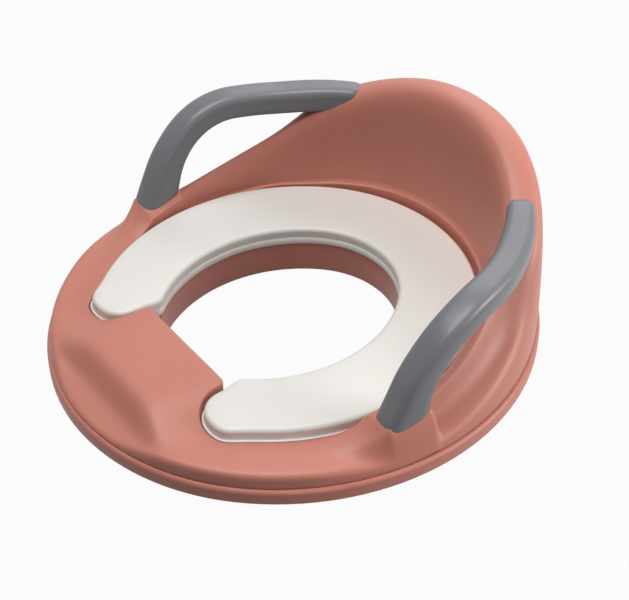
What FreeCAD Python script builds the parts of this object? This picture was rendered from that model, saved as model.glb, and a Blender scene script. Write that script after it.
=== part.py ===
import FreeCAD, Part, Sketcher

import math
import os

from FreeCAD import Placement, Rotation, Vector

# Padded training seat that drops into an adult toilet seat: a moulded shell with a high
# scooped back, a base pan under it, a soft horseshoe cushion, two arched grips, grip pads
# and the screws that hold the pan. Millimetres, +Z up, +Y towards the back, +X to the
# sitter's left. The origin is on the lowest plane, under the middle of the rim's oval.

DOC = FreeCAD.newDocument("training_seat")

# Driving dimensions: alias, value, what it is
SIZES = (
    ("rim_half_width", 165.0, "rim outline, half of its width"),
    ("rim_half_length", 175.0, "rim outline, half of its length"),
    ("collar_drop", 9.5, "collar's lower edge below the base pan"),
    ("band_height", 10.5, "height of the base pan's outer band"),
    ("seam_step", 2.6, "shell edge set in from the band"),
    ("shell_wall", 2.8, "wall of the shell"),
    ("deck_rise", 9.5, "deck inside the rim above the seam"),
    ("floor_rise", 5.0, "cushion recess floor above the seam"),
    ("flange_rise", 8.2, "flange round the rim above the seam"),
    ("shoulder_rise", 2.0, "swell of the front sides above the deck"),
    ("foot_rise", 4.0, "foot of the inner faces above the recess floor"),
    ("back_height", 137.5, "top of the back above the lowest plane"),
    ("wall_lean", 4.0, "lean of the back's outer wall"),
    ("crest_rise", 17.5, "side crest's lowest stretch above the seam"),
    ("crest_out", 13.5, "side crest's line outside the cushion outline"),
    ("crown_out", 18.5, "back crest's line outside the cushion outline"),
    ("face_out", 7.5, "top of the backrest's face outside the cushion outline"),
    ("foot_out", 2.2, "foot of the inner faces outside the cushion outline"),
    ("crest_start", -60.0, "where the side crest begins to climb, along Y"),
    ("crest_bend", 236.0, "radius of the climb's lower bend, side view"),
    ("crest_slope", 37.5, "steepest climb of the crest, degrees"),
    ("crest_top_bend", 25.0, "radius of the climb's upper bend, side view"),
    ("valley_inset", 20.0, "valley under the grips inside the rim outline"),
    ("root_level", 25.0, "least height of the crest beside the grips above the seam"),
    ("valley_start", 6.0, "how far the crest climbs before the valley does"),
    ("valley_climb", 0.7, "climb of the valley for each unit that the crest climbs after that"),
    ("valley_bulge", 0.5, "swell of the flange's and valley's poles"),
    ("ridge_bulge", 3.8, "pole of the side ridge above the crest"),
    ("ridge_inner_bulge", 1.0, "pole inside the side ridge above the crest"),
    ("root_rise", 38.0, "root round a grip's foot above the flange"),
    ("root_span", 18.5, "angle over which the root falls to nothing, degrees"),
    ("root_behind", 3.4, "root's top behind the grip's foot, degrees"),
    ("seat_centre", 13.5, "opening's centre in front of the rim's centre"),
    ("opening_half_width", 74.0, "opening, half of its width"),
    ("opening_half_length", 89.0, "opening, half of its length"),
    ("guard_line", 90.0, "rear edge of the splash guard, in front of the origin"),
    ("skin_end", 6.0, "end of the skin's sections inside the cushion outline"),
    ("guard_front", 157.0, "front flank of the splash guard, in front of the origin"),
    ("guard_rise", 11.5, "splash guard above the deck"),
    ("guard_from", 22.0, "angle from the front where the splash guard begins to fall, degrees"),
    ("guard_to", 30.0, "angle from the front where its fall ends, degrees"),
    ("flank_run", 3.0, "half of the run of the splash guard's front flank"),
    ("flange_least", 7.0, "least width of the flange in front of the flank"),
    ("collar_wall", 3.0, "wall of the collar round the opening"),
    ("cushion_half_width", 128.0, "cushion, half of its width"),
    ("cushion_half_length", 138.0, "cushion outline, half of its length"),
    ("cushion_centre", 7.5, "cushion outline's centre in front of the rim's centre"),
    ("cushion_thick", 15.0, "cushion, floor to top"),
    ("cushion_gap", 45.0, "half of the gap between the cushion's arms"),
    ("cushion_overhang", 1.0, "cushion past the opening's edge"),
    ("cushion_clear", 0.8, "play between cushion and recess"),
    ("cushion_round", 5.5, "rounding of the cushion's top edges"),
    ("arm_outer_round", 22.0, "plan corner of each arm, outer side"),
    ("arm_inner_round", 8.0, "plan corner of each arm, opening side"),
    ("grip_inset", 22.0, "grip's centre line inside the rim outline"),
    ("grip_width", 21.5, "grip across its run"),
    ("grip_tail_width", 19.0, "grip across its back end"),
    ("grip_foot_width", 22.7, "grip across its foot"),
    ("grip_thick", 20.0, "grip, ridge to underside"),
    ("grip_foot_thick", 30.0, "grip's foot, front to back"),
    ("grip_foot_out", 1.2, "grip's foot out from its run's line"),
    ("grip_foot_ahead", 3.6, "grip's foot ahead of its leg's line"),
    ("grip_corner", 6.0, "corner radius of the grip's section"),
    ("grip_height", 108.3, "grip's centre line where run and leg would meet"),
    ("grip_front", -1.6, "where run and leg would meet, along Y"),
    ("grip_fall", 3.1, "fall of the run towards the back, degrees"),
    ("grip_lean", 16.3, "lean of the leg from upright, degrees"),
    ("grip_bend", 58.0, "radius of the grip's bend"),
    ("grip_tail", 133.0, "back end of the grip, along Y"),
    ("grip_root", 3.0, "grip's foot below the deck"),
    ("grip_play", 0.15, "play between grip and shell"),
    ("boss_round", 23.0, "radius of the solid boss under a grip's foot"),
    ("tail_boss_round", 14.0, "radius of the boss round a grip's back end"),
    ("tail_boss_drop", 17.0, "boss below the centre line of a grip's back end"),
    ("pan_wall", 6.0, "base pan's outer wall"),
    ("pan_floor", 2.6, "base pan's floor"),
    ("pan_round", 3.0, "rounding of the band's upper edge"),
    ("pan_clear", 0.3, "play between base pan and collar"),
    ("post_inset", 8.0, "screw posts inside the rim outline"),
    ("post_round", 4.6, "radius of the screw posts"),
    ("post_height", 14.0, "height of the shell's posts above the seam"),
    ("screw_round", 1.6, "radius of a screw's shank"),
    ("screw_head", 3.2, "radius of a screw's head"),
    ("screw_head_thick", 2.0, "thickness of a screw's head"),
    ("screw_bite", 5.0, "length of thread in the shell's post"),
    ("screw_play", 0.15, "play round a screw"),
    ("pad_inset", 4.0, "outer edge of a grip pad inside the rim outline"),
    ("pad_width", 9.0, "width of a grip pad"),
    ("pad_thick", 2.4, "thickness of a grip pad"),
    ("pad_stand", 1.2, "how far a pad stands below the base pan"),
    ("pad_span", 26.0, "angle that a pad spans, degrees"),
    ("pad_angle", 62.0, "angle of the pads' middles from the seat's axis, degrees"),
)

# Dimensions that follow from the driving ones: alias, formula, what it is
DERIVED = (
    ("pan_bottom", "=collar_drop", "underside of the base pan"),
    ("seam", "=collar_drop + band_height", "seam between base pan and shell"),
    ("deck", "=seam + deck_rise", "deck inside the rim"),
    ("recess_floor", "=seam + floor_rise", "floor of the cushion recess"),
    ("flange", "=seam + flange_rise", "flange round the rim"),
    ("crest_low", "=seam + crest_rise", "side crest beside the grips"),
    ("guard_top", "=deck + guard_rise", "top of the splash guard"),
    ("all_over", "=back_height + guard_rise", "a height above everything"),
    ("pad_bottom", "=collar_drop - pad_stand", "underside of the grip pads"),
)

STATIONS = 48  # pole columns of the moulded skin

# Angles from the back, in degrees, between which one kind of section turns into the next
BACK_TO_SIDE = (44.0, 64.0)
SIDE_TO_FRONT = (102.0, 126.0)
CREST_TO_SHOULDER = (103.0, 122.0)
GUARD_REACH = 60.0  # angle from the front within which the splash guard may show
GUARD_SWELL = (0.97, 0.98, 1.0, 1.03, 1.06)  # the plateau's poles, as shares of its height
SLANT = 0.4  # fall of the side ridge's inner pole, as a share of crest_out
ROOT_LIFTS = (0.0, 0.1, 0.6, 1.05, 0.7, 0.15, 0.0, 0.0, 0.0, 0.0)  # share of root_rise, by pole
SCREW_ANGLES = (20, 90, 160, 200, 270, 340)  # from the back, clear of pads and grips
SIDES = (("left", 1), ("right", -1))
UP = Vector(0, 0, 1)


# The sheet


def make_sheet():
    """Writes both tables into the sheet, one aliased cell a row."""
    sheet = DOC.addObject("Spreadsheet::Sheet", "Sizes")
    rows = [(alias, str(value), note) for alias, value, note in SIZES]
    rows += [(alias, formula, note) for alias, formula, note in DERIVED]
    for number, (alias, content, note) in enumerate(rows, start=1):
        sheet.set(f"A{number}", note)
        sheet.set(f"B{number}", content)
        sheet.setAlias(f"B{number}", alias)
    DOC.recompute()
    return sheet


SHEET = make_sheet()


def size(alias):
    """The value of a sheet cell, as a plain number."""
    return float(SHEET.get(alias))


# Plane geometry


def smooth(value, start, end):
    """0 before start, 1 after end, with a smooth S between them."""
    share = min(max((value - start) / (end - start), 0.0), 1.0)
    return share * share * (3.0 - 2.0 * share)


def mix(first, second, share):
    """The value that lies at a share of the way from first to second."""
    return first + (second - first) * share


def oval_shift(half_width, half_length):
    """How far an oval's four arc centres lie from its middle; the arcs join at 45 degrees."""
    return (half_length - half_width) * math.sqrt(0.5) / (math.sqrt(2.0) - 1.0)


def oval_wire(half_width, half_length, centre_y):
    """A closed oval of four tangent arcs."""
    shift = oval_shift(half_width, half_length)
    join_y = (half_width + shift) * math.sqrt(0.5)
    join_x = join_y - shift
    joins = ((join_x, join_y), (-join_x, join_y), (-join_x, -join_y), (join_x, -join_y))
    middles = ((0.0, half_length), (-half_width, 0.0), (0.0, -half_length), (half_width, 0.0))
    edges = []
    for number, middle in enumerate(middles):
        three = (joins[number], middle, joins[(number + 1) % 4])
        edges.append(Part.Arc(*[Vector(x, y + centre_y, 0) for x, y in three]).toShape())
    return Part.Wire(edges)


def circle_reach(centre_x, centre_y, radius, angle):
    """Distance from the origin along a ray to the far side of a circle."""
    near = centre_x * math.sin(angle) + centre_y * math.cos(angle)
    return near + math.sqrt(near**2 - centre_x**2 - centre_y**2 + radius**2)


def oval_reach(half_width, half_length, centre_y, angle):
    """Distance from the origin along a ray to an oval; angle 0 points to the back."""
    shift = oval_shift(half_width, half_length)
    join_y = (half_width + shift) * math.sqrt(0.5)
    for end in (1.0, -1.0):
        reach = circle_reach(0.0, centre_y + end * shift, half_length - shift, angle)
        if end * (reach * math.cos(angle) - centre_y) > join_y:
            return reach
    side = math.copysign(1.0, math.sin(angle))
    return circle_reach(-side * shift, centre_y, half_width + shift, angle)


def rim_reach(angle):
    """Distance from the origin to the rim outline."""
    return oval_reach(size("rim_half_width"), size("rim_half_length"), 0.0, angle)


def cushion_reach(angle):
    """Distance from the origin to the cushion outline."""
    half_width = size("cushion_half_width")
    half_length = size("cushion_half_length")
    return oval_reach(half_width, half_length, -size("cushion_centre"), angle)


def crest_height(y_value):
    """Height of the crest over Y, side view: level, bend, slope, bend, level at the back."""
    low = size("crest_low")
    top = size("back_height")
    slope = math.radians(size("crest_slope"))
    start = size("crest_start")
    bend = size("crest_bend")
    bend_end_y = start + bend * math.sin(slope)
    bend_end_z = low + bend * (1.0 - math.cos(slope))
    top_bend = size("crest_top_bend")
    slope_end_z = top - top_bend * (1.0 - math.cos(slope))
    slope_end_y = bend_end_y + (slope_end_z - bend_end_z) / math.tan(slope)
    level_y = slope_end_y + top_bend * math.sin(slope)
    if y_value <= start:
        return low
    if y_value <= bend_end_y:
        return low + bend - math.sqrt(bend**2 - (y_value - start) ** 2)
    if y_value <= slope_end_y:
        return bend_end_z + (y_value - bend_end_y) * math.tan(slope)
    if y_value <= level_y:
        return top - top_bend + math.sqrt(top_bend**2 - (level_y - y_value) ** 2)
    return top


# The moulded skin: sections from the seam over the crest to the opening, as spline poles


def back_section(rim, cushion, crest):
    """Behind the grips: a tall wall, a broad rounded crown and the backrest's face."""
    seam = size("seam")
    rise = crest - seam
    edge = rim - size("seam_step")
    lean = size("wall_lean")
    crown = cushion + size("crown_out")
    face = cushion + size("face_out")
    foot = cushion + size("foot_out")
    return (
        (edge, seam),
        (edge, mix(seam, crest, 0.25)),
        (edge - 0.3 * lean, mix(seam, crest, 0.55)),
        (edge - 0.8 * lean, mix(seam, crest, 0.85)),
        (edge - 1.5 * lean, crest - 0.01 * rise),
        (crown, crest + 0.01 * rise),
        (face, crest - 0.03 * rise),
        (mix(foot, face, 0.7), mix(seam, crest, 0.55)),
        (foot, size("recess_floor") + size("foot_rise")),
        (cushion - size("skin_end"), size("deck")),
    )


def side_section(rim, cushion, crest):
    """Under the grips: a flange, a valley, a ridge and its slanting inner face."""
    seam = size("seam")
    deck = size("deck")
    edge = rim - size("seam_step")
    valley = rim - size("valley_inset")
    line = cushion + size("crest_out")
    foot = cushion + size("foot_out")
    climb = max(0.0, crest - size("crest_low") - size("valley_start"))
    flange = size("flange") + size("valley_climb") * climb
    slant = SLANT * size("crest_out") * smooth(climb, 0.0, size("crest_out"))
    return (
        (edge, seam),
        (edge, mix(seam, flange, 0.6)),
        (mix(edge, valley, 0.2), flange + size("valley_bulge")),
        (mix(edge, valley, 0.6), flange + size("valley_bulge")),
        (mix(valley, line, 0.1), mix(flange, crest, 0.25)),
        (line, crest + size("ridge_bulge")),
        (mix(foot, line, 0.35), crest + size("ridge_inner_bulge") - slant),
        (mix(foot, line, 0.1), mix(deck, crest, 0.5)),
        (foot, size("recess_floor") + size("foot_rise")),
        (cushion - size("skin_end"), deck),
    )


def shoulder_section(rim):
    """Between the grips and the splash guard: a round shoulder and a level deck."""
    seam = size("seam")
    level = size("deck") + size("shoulder_rise")
    edge = rim - size("seam_step")
    inner = size("guard_line") - size("shell_wall")
    turn = level - seam
    rows = [
        (edge, seam),
        (edge, mix(seam, level, 0.45)),
        (edge - 0.22 * turn, mix(seam, level, 0.75)),
        (edge - 0.65 * turn, mix(seam, level, 0.95)),
        (edge - 1.2 * turn, level),
    ]
    start = edge - 1.2 * turn
    return rows + [(mix(start, inner, 0.2 * step), level) for step in range(1, 6)]


def guard_section(rim, ahead):
    """The splash guard: a flange in front, a steep flank and a plateau."""
    seam = size("seam")
    deck = size("deck")
    flange = size("flange")
    top = size("guard_top")
    edge = rim - size("seam_step")
    flank = min(size("guard_front") / math.cos(ahead), edge - size("flange_least"))
    run = size("flank_run")
    inner = size("guard_line") - size("shell_wall")
    rows = [
        (edge, seam),
        (edge, mix(seam, flange, 0.7)),
        (mix(edge, flank, 0.35), flange),
        (flank + run, flange),
        (flank - run, mix(deck, top, 0.8)),
    ]
    start = flank - run
    for step, height in enumerate(GUARD_SWELL, start=1):
        rows.append((mix(start, inner, 0.2 * step), mix(deck, top, height)))
    return rows


def blend(first, second, share):
    """The section that lies at a share of the way from one section to another."""
    rows = []
    for one, other in zip(first, second):
        rows.append((mix(one[0], other[0], share), mix(one[1], other[1], share)))
    return rows


def foot_angle():
    """Angle of a grip's foot, from the back."""
    foot_y = grip_path()[-1][0]
    return math.degrees(math.acos(foot_y / (rim_reach(math.pi / 2.0) - size("grip_inset"))))


def skin_section(angle):
    """Poles of the skin at one angle, blended from the four kinds of section."""
    degrees = abs(math.degrees(math.remainder(angle, 2.0 * math.pi)))
    ahead = 180.0 - degrees
    rim = rim_reach(angle)
    cushion = cushion_reach(angle)
    to_side = smooth(degrees, *BACK_TO_SIDE)
    line = cushion + mix(size("crown_out"), size("crest_out"), to_side)
    crest = max(crest_height(line * math.cos(angle)), size("seam") + size("root_level"))
    level = size("deck") + size("shoulder_rise")
    crest = mix(crest, level, smooth(degrees, *CREST_TO_SHOULDER))
    back = back_section(rim, cushion, crest)
    side = side_section(rim, cushion, crest)
    rows = blend(back, side, to_side)
    front = shoulder_section(rim)
    if ahead < GUARD_REACH:
        guard = guard_section(rim, math.radians(ahead))
        fall = smooth(ahead, size("guard_from"), size("guard_to"))
        front = blend(front, guard, 1.0 - fall)
    rows = blend(rows, front, smooth(degrees, *SIDE_TO_FRONT))
    away = abs(degrees - foot_angle() + size("root_behind")) / size("root_span")
    swell = size("root_rise") * max(0.0, 1.0 - away) ** 1.5
    rows = [(reach, height + lift * swell) for (reach, height), lift in zip(rows, ROOT_LIFTS)]
    rows.append((size("cushion_gap"), size("deck")))
    return rows


def inset_section(rows, wall):
    """The same poles moved into the wall by its thickness, square to the section."""
    moved = [(rows[0][0] - wall, rows[0][1] - 1.0)]
    for number in range(1, len(rows) - 1):
        reach, height = rows[number]
        run = rows[number + 1][0] - rows[number - 1][0]
        climb = rows[number + 1][1] - rows[number - 1][1]
        length = math.hypot(run, climb)
        moved.append((reach - wall * climb / length, height + wall * run / length))
    moved.append((rows[-1][0], rows[-1][1] - wall))
    return moved


def skin_solid(name, wall):
    """The solid under the skin, closed by a disc at the seam and one over the opening."""
    columns = []
    for station in range(STATIONS):
        angle = 2.0 * math.pi * station / STATIONS
        rows = skin_section(angle)
        if wall:
            rows = inset_section(rows, wall)
        columns.append([Vector(r * math.sin(angle), r * math.cos(angle), z) for r, z in rows])
    degree = 3
    knots = len(columns[0]) - degree + 1
    surface = Part.BSplineSurface()
    surface.buildFromPolesMultsKnots(
        columns,
        [1] * (STATIONS + 1),
        [degree + 1] + [1] * (knots - 2) + [degree + 1],
        list(range(STATIONS + 1)),
        list(range(knots)),
        True,
        False,
        degree,
        degree,
    )
    faces = [surface.toShape()]
    for height in (0, knots - 1):
        edge = surface.vIso(float(height)).toShape()
        faces.append(Part.Face(Part.Wire(edge)))
    shell = Part.makeShell(faces)
    shell.sewShape()
    solid = Part.makeSolid(shell)
    if solid.Volume < 0:
        solid.reverse()
    return add_shape(name, solid)


# Document objects


def add_shape(name, shape):
    """Adds an object whose shape is worked out by the functions above."""
    item = DOC.addObject("Part::Feature", name)
    item.Shape = shape
    return item


def block(name, outline, base, height):
    """A straight solid over a closed outline; base and height are formulas."""
    item = DOC.addObject("Part::Extrusion", name)
    item.Base = add_shape(f"{name}_outline", outline)
    item.DirMode = "Custom"
    item.Dir = UP
    item.Solid = True
    item.setExpression("LengthFwd", height)
    item.setExpression("Placement.Base.z", base)
    return item


def cylinder(name, place, radius, base, height):
    """An upright cylinder at a place in plan; the last three are formulas."""
    item = DOC.addObject("Part::Cylinder", name)
    item.Placement = Placement(Vector(place[0], place[1], 0), Rotation())
    item.setExpression("Radius", radius)
    item.setExpression("Placement.Base.z", base)
    item.setExpression("Height", height)
    return item


def cut(name, base, *tools):
    """Takes each tool away from the base, one step at a time."""
    for number, tool in enumerate(tools, start=1):
        last = number == len(tools)
        step = DOC.addObject("Part::Cut", name if last else f"{name}_{number}")
        step.Base = base
        step.Tool = tool
        base = step
    DOC.recompute()
    return base


def fuse(name, *parts):
    """Joins all parts into one solid."""
    item = DOC.addObject("Part::MultiFuse", name)
    item.Shapes = list(parts)
    DOC.recompute()
    return item


def rounded(name, base, radius, wanted):
    """Rounds the edges of the base for which wanted(edge) holds."""
    item = DOC.addObject("Part::Fillet", name)
    item.Base = base
    numbers = [n for n, edge in enumerate(base.Shape.Edges, start=1) if wanted(edge)]
    item.Edges = [(number, radius, radius) for number in numbers]
    DOC.recompute()
    return item


# Blocks that several pieces share


def rectangle(low, high):
    """A closed rectangle between two corners in plan."""
    corners = (low, (high[0], low[1]), high, (low[0], high[1]), low)
    return Part.makePolygon([Vector(x, y, 0) for x, y in corners])


def horseshoe(name, grow, base, height):
    """The cushion's plan with both arms rounded, grown all round, as a straight block."""
    lip = size("cushion_overhang") + grow
    outer = oval_wire(
        size("cushion_half_width") + grow,
        size("cushion_half_length") + grow,
        -size("cushion_centre"),
    )
    inner = oval_wire(
        size("opening_half_width") - lip,
        size("opening_half_length") - lip,
        -size("seat_centre"),
    )
    gap = size("cushion_gap") - grow
    slot = rectangle((-gap, -size("rim_half_length")), (gap, -size("seat_centre")))
    solid = cut(
        f"{name}_plan",
        block(f"{name}_outer", outer, base, height),
        block(f"{name}_inner", inner, base, height),
        block(f"{name}_slot", slot, base, height),
    )

    def arm_corners(shape, front):
        """Upright edges on the slot's sides, the front one or the rear one of each arm."""
        chosen = []
        for side in (1, -1):
            upright = []
            for edge in shape.Edges:
                box = edge.BoundBox
                if math.hypot(box.XLength, box.YLength) < 0.01 and box.ZLength > 0.01:
                    if abs(side * box.XMin - gap) < 0.01:
                        upright.append(edge)
            upright.sort(key=lambda edge: edge.BoundBox.YMin)
            chosen.append(upright[0] if front else upright[-1])
        return chosen

    for label, radius, front in (
        ("rear", size("arm_inner_round") + grow, False),
        ("front", size("arm_outer_round") + grow, True),
    ):
        chosen = arm_corners(solid.Shape, front)
        solid = rounded(
            f"{name}_{label}", solid, radius, lambda edge: any(edge.isSame(c) for c in chosen)
        )
    return solid


def opening(name, grow, base, height):
    """The opening: an oval cut off at the splash guard, with squared corners there."""
    half_width = size("opening_half_width") + grow
    half_length = size("opening_half_length") + grow
    centre_y = -size("seat_centre")
    line = -size("guard_line") - grow
    half = size("cushion_gap") + size("cushion_overhang") + grow
    ahead = rectangle((-half_width, -2.0 * size("rim_half_length")), (half_width, line))
    corners = rectangle((-half, line), (half, centre_y))
    oval = block(f"{name}_oval", oval_wire(half_width, half_length, centre_y), base, height)
    return fuse(
        name,
        cut(f"{name}_back", oval, block(f"{name}_ahead", ahead, base, height)),
        block(f"{name}_corners", corners, base, height),
    )


def screw_places():
    """Plan positions of the screws."""
    places = []
    for degrees in SCREW_ANGLES:
        angle = math.radians(degrees)
        reach = rim_reach(angle) - size("post_inset")
        places.append((reach * math.sin(angle), reach * math.cos(angle)))
    return places


# The grips


def grip_path():
    """Points of a grip's centre line in the side view, back end first, as (y, z)."""
    fall = math.radians(size("grip_fall"))
    lean = math.radians(size("grip_lean"))
    corner_y = size("grip_front")
    corner_z = size("grip_height")
    bend = size("grip_bend")
    turn = math.pi / 2.0 + fall - lean
    tangent = bend * math.tan(turn / 2.0)
    run_end = (corner_y + tangent * math.cos(fall), corner_z - tangent * math.sin(fall))
    tail_y = size("grip_tail")
    tip = size("grip_corner") / (tail_y - run_end[0])
    points = []
    for share in (0.0, tip, 0.35, 0.7):
        y_value = mix(tail_y, run_end[0], share)
        points.append((y_value, corner_z - (y_value - corner_y) * math.tan(fall)))
    centre_y = run_end[0] - bend * math.sin(fall)
    centre_z = run_end[1] - bend * math.cos(fall)
    for step in range(6):
        angle = math.pi / 2.0 - fall + turn * step / 5.0
        points.append((centre_y + bend * math.cos(angle), centre_z + bend * math.sin(angle)))
    foot_z = size("deck") - size("grip_root")
    leg_y, leg_z = points[-1]
    foot_y = leg_y - (leg_z - foot_z) * math.tan(lean)
    points.append((mix(leg_y, foot_y, 0.5), mix(leg_z, foot_z, 0.5)))
    points.append((foot_y, foot_z))
    return points


def grip_x(y_value):
    """How far out the grip's centre line lies at a place along Y."""
    angle = math.pi / 2.0
    for _ in range(30):
        reach = rim_reach(angle) - size("grip_inset")
        angle = math.acos(max(-1.0, min(1.0, y_value / reach)))
    return (rim_reach(angle) - size("grip_inset")) * math.sin(angle)


def rounded_rectangle(centre, across, upward, half_across, half_up, corner):
    """A closed wire of four arcs and four lines in the plane of two directions."""
    bow = corner * (1.0 - math.sqrt(0.5))

    def point(out_a, out_u):
        return centre + across * out_a + upward * out_u

    arcs = []
    for sign_a, sign_u in ((1, 1), (-1, 1), (-1, -1), (1, -1)):
        ends = [
            point(sign_a * half_across, sign_u * (half_up - corner)),
            point(sign_a * (half_across - corner), sign_u * half_up),
        ]
        if sign_a != sign_u:
            ends.reverse()
        middle = point(sign_a * (half_across - bow), sign_u * (half_up - bow))
        arcs.append((ends[0], middle, ends[1]))
    edges = []
    for number, (start, middle, end) in enumerate(arcs):
        edges.append(Part.Arc(start, middle, end).toShape())
        edges.append(Part.LineSegment(end, arcs[(number + 1) % 4][0]).toShape())
    return Part.Wire(edges)


def grip_girths(count):
    """Width, thickness and share of the foot's flare at each point of the grip's path."""
    tail = size("grip_tail_width")
    middle = size("grip_width")
    thick = size("grip_thick")
    girths = [
        (tail - size("grip_corner"), 0.85 * thick, 0.0),
        (tail, thick, 0.0),
        (mix(tail, middle, 0.6), thick, 0.0),
        (middle, thick, 0.0),
    ]
    for number in range(4, count):
        flare = smooth(number, count - 5, count - 1)
        width = mix(middle, size("grip_foot_width"), flare)
        girths.append((width, mix(thick, size("grip_foot_thick"), flare), flare))
    return girths


def grip_solid(side, grow):
    """One grip, lofted through rounded rectangles set square to its centre line."""
    path = [Vector(side * grip_x(y), y, z) for y, z in grip_path()]
    count = len(path)
    wires = []
    for number, (point, girth) in enumerate(zip(path, grip_girths(count))):
        width, thick, flare = girth
        before = path[max(number - 1, 0)]
        after = path[min(number + 1, count - 1)]
        along = (after - before).normalize()
        outward = Vector(point.x, point.y, 0).normalize()
        across = (outward - along * outward.dot(along)).normalize()
        upward = along.cross(across)
        half_up = thick / 2.0 + grow
        point = point + outward * (flare * size("grip_foot_out"))
        point = point - Vector(0, flare * size("grip_foot_ahead"), 0)
        if number in (0, count - 1):
            point = point + along * (grow if number else -grow)
        wires.append(
            rounded_rectangle(
                point, across, upward, width / 2.0 + grow, half_up, size("grip_corner") + grow
            )
        )
    return Part.makeLoft(wires, True, False)


# Sub-parts


def make_shell():
    """The upper moulding: a thin skin with recess, collar, grip bosses and screw posts."""
    wall = size("shell_wall")
    clear = size("cushion_clear")
    collar_wall = size("collar_wall")
    outside = skin_solid("skin", 0.0)
    bosses = []
    for name, side in SIDES:
        path = grip_path()
        foot_y = path[-1][0]
        foot = (side * grip_x(foot_y), foot_y - size("grip_foot_ahead") / 2.0)
        bosses.append(
            cylinder(f"foot_boss_{name}", foot, "Sizes.boss_round", "Sizes.seam", "Sizes.all_over")
        )
        tail_y, tail_z = path[1]
        tail = (side * grip_x(tail_y), tail_y)
        tail_boss = cylinder(
            f"tail_boss_{name}", tail, "Sizes.tail_boss_round", "0", "Sizes.all_over"
        )
        tail_boss.setExpression("Placement.Base.z", f"{tail_z} - Sizes.tail_boss_drop")
        bosses.append(tail_boss)
    for number, place in enumerate(screw_places(), start=1):
        bosses.append(
            cylinder(
                f"shell_post_{number}", place, "Sizes.post_round", "Sizes.seam", "Sizes.post_height"
            )
        )
    hollow = cut(
        "hollow",
        skin_solid("inner_skin", wall),
        horseshoe("recess_wall", clear + wall, "Sizes.recess_floor - Sizes.shell_wall",
                  "Sizes.all_over"),
        opening("collar_gap", collar_wall, "Sizes.pan_bottom", "Sizes.all_over"),
        *bosses,
    )
    collar = opening("collar_outside", collar_wall, "0", "Sizes.recess_floor - 1")
    tools = [
        hollow,
        opening("way_through", 0.0, "-1", "Sizes.all_over"),
        horseshoe("recess", clear, "Sizes.recess_floor", "Sizes.all_over"),
    ]
    for name, side in SIDES:
        tools.append(add_shape(f"grip_pocket_{name}", grip_solid(side, size("grip_play"))))
    for number, place in enumerate(screw_places(), start=1):
        tools.append(
            cylinder(
                f"pilot_{number}", place, "Sizes.screw_round", "Sizes.seam - 1",
                "Sizes.screw_bite + 1.5",
            )
        )
    return cut("shell", fuse("skin_and_collar", outside, collar), *tools)


def make_cushion():
    """The soft horseshoe cushion with rounded upper edges."""
    plan = horseshoe("cushion_block", 0.0, "Sizes.recess_floor", "Sizes.cushion_thick")
    top = size("recess_floor") + size("cushion_thick")
    return rounded(
        "cushion", plan, size("cushion_round"), lambda edge: edge.BoundBox.ZMin > top - 0.01
    )


def pad_solid(name, quarter, base, height):
    """A stretch of the rim's side arc, one of four quarters."""
    side = (1, 1, -1, -1)[quarter]
    end = (1, -1, -1, 1)[quarter]
    shift = oval_shift(size("rim_half_width"), size("rim_half_length"))
    outer = f"Sizes.rim_half_width + {shift} - Sizes.pad_inset"
    middle = math.degrees(math.atan2(end * math.cos(math.radians(size("pad_angle"))),
                                     side * math.sin(math.radians(size("pad_angle")))))
    turned = Rotation(UP, middle - size("pad_span") / 2.0)
    rings = []
    for part, radius in (("outer", outer), ("inner", f"{outer} - Sizes.pad_width")):
        ring = cylinder(f"{name}_{part}", (0, 0), radius, base, height)
        ring.Placement = Placement(Vector(-side * shift, 0, 0), turned)
        ring.setExpression("Angle", "Sizes.pad_span")
        ring.setExpression("Placement.Base.z", base)
        rings.append(ring)
    return cut(name, *rings)


def make_base():
    """The pan under the shell: outer band, floor, screw posts and pockets for the pads."""
    rim = (size("rim_half_width"), size("rim_half_length"))
    wall = size("pan_wall")
    seam = size("seam")
    band = block("band", oval_wire(*rim, 0.0), "Sizes.pan_bottom", "Sizes.band_height")
    DOC.recompute()
    band = rounded(
        "rounded_band", band, size("pan_round"), lambda edge: edge.BoundBox.ZMin > seam - 0.01
    )
    inside = block(
        "pan_inside",
        oval_wire(rim[0] - wall, rim[1] - wall, 0.0),
        "Sizes.pan_bottom + Sizes.pan_floor",
        "Sizes.band_height",
    )
    posts = []
    holes = []
    for number, place in enumerate(screw_places(), start=1):
        posts.append(
            cylinder(f"pan_post_{number}", place, "Sizes.post_round", "0", "Sizes.all_over")
        )
        holes.append(
            cylinder(f"screw_hole_{number}", place, "Sizes.screw_round + Sizes.screw_play",
                     "0", "Sizes.seam + 1")
        )
        holes.append(
            cylinder(f"screw_well_{number}", place, "Sizes.screw_head + Sizes.screw_play",
                     "0", "Sizes.pan_bottom + Sizes.screw_head_thick")
        )
    pockets = []
    for quarter in range(4):
        pockets.append(
            pad_solid(f"pad_pocket_{quarter + 1}", quarter, "0", "Sizes.pad_bottom + Sizes.pad_thick")
        )
    way = opening("pan_opening", size("collar_wall") + size("pan_clear"), "0", "Sizes.all_over")
    return cut("base_pan", band, cut("pan_hollow", inside, *posts), way, *holes, *pockets)


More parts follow.
